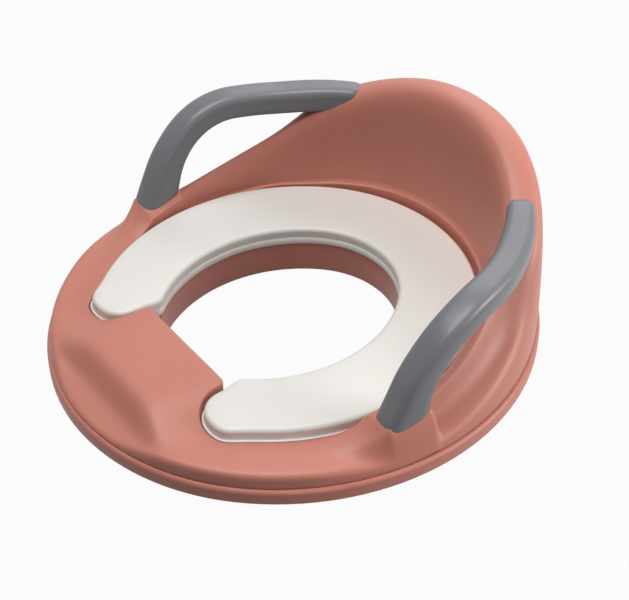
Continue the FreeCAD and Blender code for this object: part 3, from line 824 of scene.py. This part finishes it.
    def rooted(self, plan: np.ndarray, level: np.ndarray) -> np.ndarray:
        """Raises the skin to a pedestal round each grip's foot.

        The pedestal's top rises a little outwards and to the rear. Behind, outside and inside
        it falls away as the square of the distance, and in front as a slope that levels off
        exponentially. The higher of pedestal and skin counts, with a rounded change between.

        Args:
            plan: points in plan, (..., 2).
            level: the skin's heights there.

        Returns:
            The new heights.
        """
        angle = np.arctan2(plan[..., 0], plan[..., 1])
        reach = np.hypot(plan[..., 0], plan[..., 1])
        ahead = np.maximum(0.0, self.root_front - plan[..., 1])
        outer = self.seat.rim.reach(angle) + self.root_outer[0] - self.root_spread[0] * ahead
        inner = self.seat.cushion.reach(angle) + self.root_inner[0]
        sides = [
            (plan[..., 1] - self.root_rear[0]) / self.root_rear[1],
            (reach - outer) / (self.root_outer[1] + self.root_spread[1] * ahead),
            0.5 * (inner - reach) / self.root_inner[1],
        ]
        falls = sum(np.maximum(0.0, side) ** 2 for side in sides)
        rise = self.root_tilt[0] * np.maximum(0.0, reach - inner)
        rise += self.root_tilt[1] * np.clip(plan[..., 1] - self.root_front, 0.0, self.root_length)
        depth, length, grade = self.root_slope
        slope = depth * (1.0 - np.exp(-ahead / length)) + grade * ahead
        pedestal = self.root_top + rise - slope - self.root_drop * falls
        part = np.clip(0.5 + 0.5 * (pedestal - level) / self.root_blend, 0.0, 1.0)
        return mix(level, pedestal, part) + self.root_blend * part * (1.0 - part)

    def place_of(self, table: np.ndarray, points: np.ndarray) -> tuple:
        """Finds where the skin passes over points in plan, by halving the section.

        Args:
            table: the smoothed poles.
            points: the points, (count, 2).

        Returns:
            Their directions, their places along the section and the skin's heights there.
        """
        angle = np.arctan2(points[:, 0], points[:, 1])
        wanted = np.hypot(points[:, 0], points[:, 1])
        low, high = np.zeros(len(points)), np.full(len(points), 8.0)
        for _ in range(40):
            middle = (low + high) / 2.0
            outside = self.skin(table, angle, middle)[0] > wanted
            low, high = np.where(outside, middle, low), np.where(outside, high, middle)
        return angle, low, self.skin(table, angle, low)[1]

    def recess_line(self) -> np.ndarray:
        """Plan line of the splash guard's rear edge and the recess, for the half with X > 0.

        It is made of a straight edge, a small corner arc, the slot's side, the arm's end arc,
        which touches the recess oval from inside, and the oval up to the back. Points stand
        closer on the corner and the arm's end.

        Returns:
            An array (half + 1, 2), from the front's middle to the back's.
        """
        seat = self.seat
        outline = seat.cushion.grown(seat.play)
        side = seat.slot - seat.play
        small, large = self.corner_round, seat.arm_round + seat.play
        centre, last, touch = outline.arm_arc(side, large)
        line = np.concatenate([
            [[0.0, -seat.guard_line]],
            arc((side - small, -seat.guard_line - small), small, 90.0, 0.0, 16),
            arc(centre, large, 180.0, last, 80),
            outline.at(np.linspace(touch, 0.0, 400)),
        ])
        share = np.linspace(0.0, 1.0, self.half + 1)
        return seat.squared(resample(line, share - self.crowding * np.sin(2.0 * math.pi * share)))

    def opening_line(self, recess: np.ndarray, grow: float) -> np.ndarray:
        """Plan line of the opening, column by column, for the half with X > 0.

        It follows the splash guard's edge, turns a squared corner and goes on as an oval. Each
        column takes the point in its own direction from a centre in front of the origin, and
        the columns beside the arm's end are spread evenly, so that no two cross.

        Args:
            recess: the recess line.
            grow: how far the line is moved outwards, for the collar's outer side.

        Returns:
            An array (half + 1, 2).
        """
        seat = self.seat
        oval = seat.opening.grown(grow)
        side, line = seat.slot + 1.0 + grow, -seat.guard_line - grow
        corner = self.opening_corner + grow
        end_y, end_round = oval.centre_y - oval.shift, oval.half_length - oval.shift
        meet_y = end_y - math.sqrt(max(end_round**2 - side**2, 0.0))
        points = np.concatenate([
            [[0.0, line]],
            arc((side - corner, line + corner), corner, -90.0, 0.0, 14),
            oval.at(np.linspace(math.atan2(side, meet_y), 0.0, 300)),
        ])
        centre = np.array(self.opening_centre)
        away, own = points - centre, recess - centre
        direction = np.arctan2(away[:, 0], -away[:, 1])
        last = math.radians(self.arm_bearing)
        wanted = self.spread(np.arctan2(own[:, 0], -own[:, 1]), recess, last)
        return np.stack([np.interp(wanted, direction, points[:, k]) for k in (0, 1)], axis=1)

    def on_guard(self, recess: np.ndarray) -> np.ndarray:
        """Tells which columns end on the splash guard's straight rear edge."""
        level = recess[:, 1] > -self.seat.guard_line - 0.01
        return level & (recess[:, 1] < 0.0) & (recess[:, 0] < self.seat.slot)

    def spread(self, wanted: np.ndarray, recess: np.ndarray, last: float) -> np.ndarray:
        """Spreads directions evenly over the columns of the slot's side and the arm's end.

        Args:
            wanted: each column's own direction from the front, in radians.
            recess: the recess line.
            last: the direction that the arm's outer end gets.

        Returns:
            Directions that rise steadily from 0 in front to pi at the back.
        """
        walk = np.arange(len(recess), dtype=float)
        corner = int(walk[self.on_guard(recess)].max())
        beyond = int(walk[recess[:, 0] > self.arm_touch].min())
        even = mix(wanted[corner], last, (walk - corner) / (beyond - corner))
        rest = mix(last, math.pi, (wanted - wanted[beyond]) / (math.pi - wanted[beyond]))
        return np.where(walk <= corner, wanted, np.where(walk >= beyond, rest, even))

    def surface(self) -> np.ndarray:
        """Works out the half of the moulding with X > 0.

        Every column is one closed section: the skin from the seam to the recess, a rounded
        lip, the recess wall and floor, the collar's inner face, its round lower edge, its
        outer face, and a web at the seam that nothing shows. On the skin a column leaves the
        rim at an angle of its own and comes to the recess line's point along a straight line
        in angle and place.

        Returns:
            An array (half + 1, rows, 3).
        """
        seat = self.seat
        table = self.table()
        recess = self.recess_line()
        tangent = np.gradient(recess, axis=0)
        tangent[[0, -1], 1] = 0.0
        tangent /= lengths(tangent)
        normal = np.stack([tangent[:, 1], -tangent[:, 0]], axis=1)
        at_guard = 1.0 - smooth(np.hypot(recess[:, 0], recess[:, 1]), *self.guard_fade)
        at_guard = np.where(recess[:, 1] < self.guard_reach, at_guard, 0.0)
        lip = mix(self.lip_round, self.guard_lip_round, at_guard)[:, None]
        angle, place, height = self.place_of(table, recess + normal * lip)
        height = self.rooted(recess + normal * lip, height)
        outer = math.pi - self.rim_directions(recess)
        share = np.linspace(0.0, 1.0, self.skin_rows)[None, :]
        walk = np.arange(len(recess), dtype=float)[:, None]
        bend = mix(self.way_power, 1.0, smooth(walk, *self.way_columns))
        way = mix(outer[:, None], angle[:, None], share**bend)
        reach, rise = self.skin(table, way, place[:, None] * share)
        plan = np.stack([reach * np.sin(way), reach * np.cos(way)], axis=-1)
        rise = self.rooted(plan, rise)
        sections = [np.concatenate([plan, rise[..., None]], axis=-1)]

        def row(plan: np.ndarray, level: np.ndarray) -> None:
            """Adds one row of points at a level."""
            level = np.broadcast_to(np.reshape(level, (-1, 1)), (len(plan), 1))
            sections.append(np.concatenate([plan, level], axis=1)[:, None])

        for aside, down in quarter(18.0, 90.0, 5):
            row(recess + normal * lip * aside, height - lip[:, 0] * down)
        edge = self.opening_line(recess, 0.0)
        floor = seat.recess_floor
        spread = self.guard_lip_round * at_guard
        wall_top = height - lip[:, 0]
        row(recess, mix(wall_top, floor + spread, 0.5))
        row(recess, floor + spread)
        inward = edge - recess
        gap = lengths(inward)
        inward = inward / np.maximum(gap, 1e-6)
        small = np.minimum(self.collar_round, 0.4 * gap)
        for part in (0.35, 0.7):
            row(mix(recess, edge, part), floor + spread * (1.0 - 1.2 * part))
        for step, (aside, down) in enumerate(quarter(0.0, 90.0, 4)):
            fall = spread * (0.4 + 0.3 * math.radians(30.0 * step))
            row(edge - inward * small * aside, floor - small[:, 0] * down - fall)
        outside = self.opening_line(recess, self.collar_wall)
        round_up = self.collar_wall / 2.0
        for level in self.inner_levels:
            row(edge, level)
        for turn in np.radians(np.linspace(0.0, 180.0, 9)):
            across = (1.0 - math.cos(turn)) / 2.0
            level = round_up * (1.0 - math.sin(turn))
            row(mix(edge, outside, across), level)
        for level in (self.outer_level, seat.seam + 0.4):
            row(outside, level)
        rim = sections[0][:, 0, :2]
        for inset, level in self.web:
            row(rim * (1.0 - inset / lengths(rim)), seat.seam + level)
        return np.concatenate(sections, axis=1)

    def rim_directions(self, recess: np.ndarray) -> np.ndarray:
        """Directions from the front in which the columns leave the rim.

        Given ones at the splash guard's corner, the slot's side and round the arm's end are
        joined by straight runs and evened out by a bell, and further back each column keeps
        its own direction.

        Args:
            recess: the recess line.

        Returns:
            Directions in radians that rise steadily from 0 in front to pi at the back.
        """
        own = np.arctan2(recess[:, 0], -recess[:, 1])
        walk = np.arange(len(recess), dtype=float)
        corner = walk[self.on_guard(recess)].max()
        ahead = recess[:, 1] < self.seat.arm_tip
        slot = walk[ahead & (recess[:, 0] < self.slot_side)].min()
        end = walk[recess[:, 0] > self.arm_front].min()
        touch = walk[recess[:, 0] > self.arm_touch].min()
        beyond = walk[own > math.radians(self.arm_bearing)].min()
        knots = [0.0, corner, slot, end, touch, beyond]
        found = np.interp(walk, knots, np.radians(self.rim_angles))
        start = own[int(beyond)]
        rest = mix(math.radians(self.rim_angles[-1]), math.pi, (own - start) / (math.pi - start))
        found = np.where(walk > beyond, rest, found)
        bent = found - math.pi * walk / walk[-1]
        closed = np.concatenate([bent, -bent[-2:0:-1]])
        return blur_closed(closed, self.evening)[: len(recess)] + math.pi * walk / walk[-1]

    def build(self) -> Piece:
        """Builds the moulding from its half and that half's mirror image.

        Returns:
            The dressed piece.
        """
        grid = mirrored(self.surface())
        count, rows = grid.shape[:2]
        faces = grid_faces(count, rows, True, True)
        piece = make_piece("shell_moulding", grid.reshape(-1, 3), faces)
        Finish.CORAL.dress(piece)
        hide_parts("shell")
        return piece


@dataclass
class BasePan:
    """The lower moulding: band, floor and screw posts, with its rounded upper edge."""

    sharp: float = 50.0

    def build(self) -> Piece:
        """Takes the solid's own shape, joined and shaded smooth.

        Returns:
            The dressed piece.
        """
        piece = merged_copy("base_pan", self.sharp)
        Finish.CORAL.dress(piece)
        return piece


@dataclass
class Cushion:
    """The soft horseshoe: one foam moulding with a crowned top and round edges."""

    seat: Seat = field(default_factory=Seat)
    inner: Oval = Oval(73.0, 88.0, -13.5)
    inner_round: float = 12.0
    bottom: float = 25.1
    top: float = 38.9
    crown: float = 1.1
    edge_round: float = 3.0
    foot_round: float = 1.0
    flange_top: float = 31.2
    flange_width: float = 1.5
    flange_window: tuple = (2.0, 12.0)
    flange_round: float = 0.3
    flange_ends: tuple = (0.85, 1.0, 1.15)
    flange_climb: float = 4.0
    flange_gap: float = 1.25
    spine_end: float = 151.5
    around: int = 560
    rows: int = 26

    def plan(self) -> np.ndarray:
        """Plan outline of the half with X > 0, from the outer back round the arm to the inner.

        It is made of the outer oval, the arm's large end arc, the slot's side, the small
        inner arc and the inner oval.

        Returns:
            An array (around, 2).
        """
        side, large, small = self.seat.slot, self.seat.arm_round, self.inner_round
        outline = self.seat.cushion
        centre, last, touch = outline.arm_arc(side, large)
        in_y = self.inner.centre_y - self.inner.shift
        in_round = self.inner.half_length - self.inner.shift
        small_x = side + small
        small_y = in_y - math.sqrt((in_round + small) ** 2 - small_x**2)
        toward = math.atan2(in_y - small_y, -small_x)
        start = math.atan2(small_x + small * math.cos(toward), small_y + small * math.sin(toward))
        line = np.concatenate([
            outline.at(np.linspace(0.0, touch, 300)),
            arc(centre, large, last, 180.0, 80),
            arc((small_x, small_y), small, 180.0, math.degrees(toward), 20),
            self.inner.at(np.linspace(start, 0.0, 300)),
        ])
        return self.seat.squared(resample(line, np.linspace(0.0, 1.0, self.around)))

    def spine(self, plan: np.ndarray) -> np.ndarray:
        """Middle line that goes with the outline: each point's nearest on a centre curve.

        The centre curve lies halfway between the two ovals and ends at the arm's centre.

        Args:
            plan: the outline.

        Returns:
            Points in the outline's order and number.
        """
        angle = np.linspace(0.0, math.radians(self.spine_end), 600)
        curve = (self.seat.cushion.at(angle) + self.inner.at(angle)) / 2.0
        curve = curve[curve[:, 1] > self.seat.arm_tip]
        gap = np.linalg.norm(plan[:, None] - curve[None], axis=2)
        return curve[np.argmin(gap, axis=1)]

    def build(self) -> Piece:
        """Builds the cushion in rows from the bottom's middle line up the edge to the crown.

        Round edges are quarter circles, and the top's crown grows as 1 - (1 - s)^2 over the
        share s of the way from the edge to the middle line.

        Returns:
            The dressed piece.
        """
        plan = self.plan()
        spine = self.spine(plan)
        depth = lengths(plan - spine)
        inward = (spine - plan) / depth
        rows = []

        beside = np.hypot(plan[:, 0], plan[:, 1])
        beside = beside - self.inner.reach(np.arctan2(plan[:, 0], plan[:, 1]))
        ledge = self.flange_width * smooth(beside, *self.flange_window)[:, None]

        def row(inset: np.ndarray, level: np.ndarray) -> None:
            """Adds a row at a distance inside the outline."""
            reach = np.minimum(inset, depth)
            place = plan + inward * reach
            rows.append(np.concatenate([place, level * np.ones((len(plan), 1))], axis=1))

        for part in (1.0, 0.6, 0.25):
            row(part * depth, self.bottom)
        for aside, up in quarter(0.0, 90.0, 5):
            row(self.foot_round * aside, self.bottom + self.foot_round * up)
        corner = self.flange_round * ledge
        for down, aside in quarter(0.0, 90.0, 4):
            row(corner * aside, self.flange_top - corner * down)
        for part in self.flange_ends:
            climb = self.flange_climb * (part - self.flange_ends[0])
            row(part * ledge, self.flange_top + climb)
        start = self.flange_gap * ledge
        for down, aside in quarter(0.0, 90.0, 10):
            inset = start + self.edge_round * aside
            row(inset, self.top - self.edge_round * down + self.crown * (inset / depth))
        for share in np.linspace(0.0, 1.0, 12)[1:]:
            inset = mix(start + self.edge_round, depth, share)
            row(inset, self.top + self.crown * (1.0 - (1.0 - inset / depth) ** 2))
        grid = mirrored(np.stack(rows, axis=1))
        count, wide = grid.shape[:2]
        faces = grid_faces(count, wide, True, False)
        points = grid.reshape(-1, 3)
        piece = make_piece("cushion_foam_moulding", points, faces)
        Finish.FOAM.dress(piece)
        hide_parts("cushion")
        return piece


@dataclass
class Grip:
    """One arched grip: a soft rectangular section carried along run, bend and leg."""

    side: int = 1
    seat: Seat = field(default_factory=Seat)
    inset: float = 22.0
    width: float = 21.5
    tail_width: float = 19.0
    foot_width: float = 22.7
    foot_thick: float = 30.0
    foot_out: float = 1.2
    foot_ahead: float = 3.6
    flare_length: float = 70.0
    thick: float = 20.0
    squareness: float = 3.6
    height: float = 108.3
    front: float = -1.6
    fall: float = 3.1
    lean: float = 16.3
    bend: float = 58.0
    tail: float = 124.5
    tail_length: float = 45.0
    tail_lift: float = 3.7
    lift_from: float = 70.0
    foot: float = 26.5
    tip_round: float = 9.0
    around: int = 72
    along: int = 220

    def path(self) -> np.ndarray:
        """Centre line, back end first: a falling line, an arc and a leaning leg.

        The side view gives Y and Z, and X follows the oval inside the rim at that Y.

        Returns:
            An array (along, 3).
        """
        fall, lean = math.radians(self.fall), math.radians(self.lean)
        turn = math.pi / 2.0 + fall - lean
        tangent = self.bend * math.tan(turn / 2.0)
        end_y = self.front + tangent * math.cos(fall)
        end_z = self.height - tangent * math.sin(fall)
        centre = (end_y - self.bend * math.sin(fall), end_z - self.bend * math.cos(fall))
        tail_z = self.height - (self.tail - self.front) * math.tan(fall)
        curve = arc(centre, self.bend, 90.0 - self.fall, 90.0 - self.fall + math.degrees(turn), 60)
        drop = curve[-1, 1] - self.foot
        foot = (curve[-1, 0] - drop * math.tan(lean), self.foot)
        flat = np.concatenate([[(self.tail, tail_z)], curve, [foot]])
        flat = resample(flat, np.linspace(0.0, 1.0, self.along))
        flat[:, 1] += self.tail_lift * smooth(flat[:, 0], self.lift_from, self.tail)
        angle = np.full(len(flat), math.pi / 2.0)
        for _ in range(30):
            reach = self.seat.rim.reach(angle) - self.inset
            angle = np.arccos(np.clip(flat[:, 0] / reach, -1.0, 1.0))
        x_value = (self.seat.rim.reach(angle) - self.inset) * np.sin(angle)
        return np.stack([self.side * x_value, flat[:, 0], flat[:, 1]], axis=1)

    def build(self) -> Piece:
        """Builds the grip.

        At every point of the path the section is a superellipse, x/a and y/b to a power that
        add up to 1. Towards the tip a and b shrink along a quarter circle, and down the leg
        the width grows to the foot's.

        Returns:
            The dressed piece.
        """
        path = self.path()
        along = np.gradient(path, axis=0)
        along /= lengths(along)
        outward = path * np.array([1.0, 1.0, 0.0])
        outward /= lengths(outward)
        across = outward - along * np.einsum("ij,ij->i", outward, along)[:, None]
        across /= lengths(across)
        upward = np.cross(along, across)
        walked = walk_of(path)
        left = walked[-1] - walked
        width = mix(self.tail_width, self.width, smooth(walked, 0.0, self.tail_length))
        flare = smooth(-left, -self.flare_length, 0.0)
        width = mix(width, self.foot_width, flare)
        thick = mix(self.thick, self.foot_thick, flare)
        path = path + outward * (flare * self.foot_out)[:, None]
        path = path - np.array([0.0, 1.0, 0.0]) * (flare * self.foot_ahead)[:, None]
        near = np.clip(walked / self.tip_round, 0.0, 1.0)
        cap = np.sqrt(1.0 - (1.0 - near) ** 2)
        half_across = (width / 2.0 - self.tip_round) + self.tip_round * cap
        half_up = thick / 2.0 * np.sqrt(cap)
        angle = np.linspace(0.0, 2.0 * math.pi, self.around, endpoint=False)
        wave = np.stack([np.cos(angle), np.sin(angle)])
        curve_a, curve_u = np.sign(wave) * np.abs(wave) ** (2.0 / self.squareness)
        half_across[0], half_up[0] = 0.0, 0.0
        rings = path[:, None] + across[:, None] * (half_across[:, None] * curve_a)[..., None]
        rings = rings + upward[:, None] * (half_up[:, None] * curve_u)[..., None]
        rings = np.concatenate([rings, np.broadcast_to(path[-1], (1, self.around, 3))])
        faces = grid_faces(len(rings), self.around, False, True)
        label = "left" if self.side > 0 else "right"
        piece = make_piece(f"grip_{label}_moulding", rings.reshape(-1, 3), faces)
        Finish.GRIP.dress(piece)
        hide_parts(f"grip_{label}")
        return piece


@dataclass
class Hardware:
    """The four grip pads and the six screws under the seat."""

    pads: int = 4
    screws: int = 6

    def build(self) -> list:
        """Takes the solids' own shapes, joined and shaded smooth.

        Returns:
            The dressed pieces, pads first.
        """
        pieces = []
        for number in range(1, self.pads + 1):
            pieces.append(merged_copy(f"pad_{number}", 30.0))
            Finish.RUBBER.dress(pieces[-1])
        for number in range(1, self.screws + 1):
            pieces.append(merged_copy(f"screw_{number}", 30.0))
            Finish.STEEL.dress(pieces[-1])
        return pieces


# The studio


@dataclass
class Studio:
    """Floor, world, soft lamps and the camera of the photograph."""

    look_at: tuple = (0.0, 0.0165, 0.0223)
    azimuth: float = 53.09
    elevation: float = 40.62
    distance: float = 0.988
    lens: float = 80.13
    floor_size: float = 6.0
    floor_drop: float = 0.0003
    floor_colour: str = "#787878"
    floor_white: float = 0.96
    ambient: float = 0.12
    key_power: float = 18.0
    side_power: float = 13.5
    rear_power: float = 4.5

    def camera(self) -> None:
        """Sets the camera on a sphere round the point that it looks at."""
        data = bpy.data.cameras.new("photo_camera")
        data.lens = self.lens
        data.sensor_width = 36.0
        camera = linked("photo_camera", data)
        turn, rise = math.radians(self.azimuth), math.radians(self.elevation)
        level = math.cos(rise)
        away = Vector((math.sin(turn) * level, -math.cos(turn) * level, math.sin(rise)))
        camera.location = Vector(self.look_at) + away * self.distance
        camera.rotation_euler = (-away).to_track_quat("-Z", "Y").to_euler()
        bpy.context.scene.camera = camera

    def seen_directly(self, tree: Tree) -> Socket:
        """Tells rays that see a surface from light that bounces.

        Args:
            tree: the tree that asks.

        Returns:
            A socket: 1 for camera, mirror and glass rays, else 0.
        """
        path = add(tree, "ShaderNodeLightPath", None, None).outputs
        most = {"operation": "MAXIMUM"}
        rays = {0: path["Is Camera Ray"], 1: path["Is Glossy Ray"]}
        either = add(tree, "ShaderNodeMath", most, rays).outputs[0]
        rays = {0: either, 1: path["Is Transmission Ray"]}
        return add(tree, "ShaderNodeMath", most, rays).outputs[0]

    def world(self) -> None:
        """Makes a world that looks white and lights softly."""
        world = bpy.data.worlds.new("pale_room")
        bpy.context.scene.world = world
        world.use_nodes = True
        tree = world.node_tree
        tree.nodes.clear()
        white = {"Color": linear("#FFFFFF"), "Strength": self.ambient}
        soft = add(tree, "ShaderNodeBackground", white, None).outputs[0]
        seen = add(tree, "ShaderNodeBackground", white | {"Strength": 1.0}, None).outputs[0]
        parts = {0: self.seen_directly(tree), 1: soft, 2: seen}
        both = add(tree, "ShaderNodeMixShader", None, parts).outputs[0]
        add(tree, "ShaderNodeOutputWorld", None, {"Surface": both})

    def floor(self) -> None:
        """Lays a grey floor that looks nearly white and keeps the seat's shadow faintly."""
        half = self.floor_size / 2.0
        mesh = bpy.data.meshes.new("studio_floor")
        signs = [(-1, -1), (1, -1), (1, 1), (-1, 1)]
        corners = [(half * x, half * y, -self.floor_drop) for x, y in signs]
        mesh.from_pydata(corners, [], [(0, 1, 2, 3)])
        floor = linked("studio_floor", mesh)
        material, tree, _ = new_tree("pale_floor")
        paper = add(tree, "ShaderNodeBsdfDiffuse", {"Color": linear(self.floor_colour)}, None)
        glow = add(tree, "ShaderNodeEmission", {"Strength": 1.0}, None)
        share = {"operation": "MULTIPLY", 1: self.floor_white}
        part = add(tree, "ShaderNodeMath", share, {0: self.seen_directly(tree)})
        parts = {0: part.outputs[0], 1: paper.outputs[0], 2: glow.outputs[0]}
        both = add(tree, "ShaderNodeMixShader", None, parts).outputs[0]
        add(tree, "ShaderNodeOutputMaterial", None, {"Surface": both})
        mesh.materials.append(material)

    def lamp(self, name: str, place: tuple, aim: tuple, width: float, power: float) -> None:
        """Hangs a square soft lamp.

        Args:
            name: the lamp's name.
            place: where it hangs, in metres.
            aim: the point that it faces.
            width: its side, in metres.
            power: its power, in watts.
        """
        data = bpy.data.lights.new(name, "AREA")
        data.shape = "SQUARE"
        data.size = width
        data.energy = power
        lamp = linked(name, data)
        lamp.location = place
        lamp.rotation_euler = (Vector(aim) - Vector(place)).to_track_quat("-Z", "Y").to_euler()

    def build(self) -> None:
        """Sets up camera, world, floor and lamps."""
        self.camera()
        self.world()
        self.floor()
        middle = (0.0, 0.0, 0.05)
        self.lamp("overhead_softbox", (-0.05, -0.2, 1.6), middle, 1.0, self.key_power)
        self.lamp("side_softbox", (1.0, 0.95, 0.45), middle, 0.8, self.side_power)
        self.lamp("rear_softbox", (-0.75, 1.0, 1.05), middle, 0.9, self.rear_power)


def main() -> None:
    """Builds the seat and the studio."""
    logging.basicConfig(level=logging.INFO, format="%(name)s: %(message)s")
    bpy.context.scene.view_settings.view_transform = "Standard"
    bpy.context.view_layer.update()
    Studio().build()
    pieces = [Shell().build(), BasePan().build(), Cushion().build()]
    pieces += [Grip(side=side).build() for side in (1, -1)]
    pieces += Hardware().build()
    for piece in pieces:
        LOG.info("%s: %d faces", piece.name, len(piece.data.polygons))


if __name__ == "__main__":
    main()
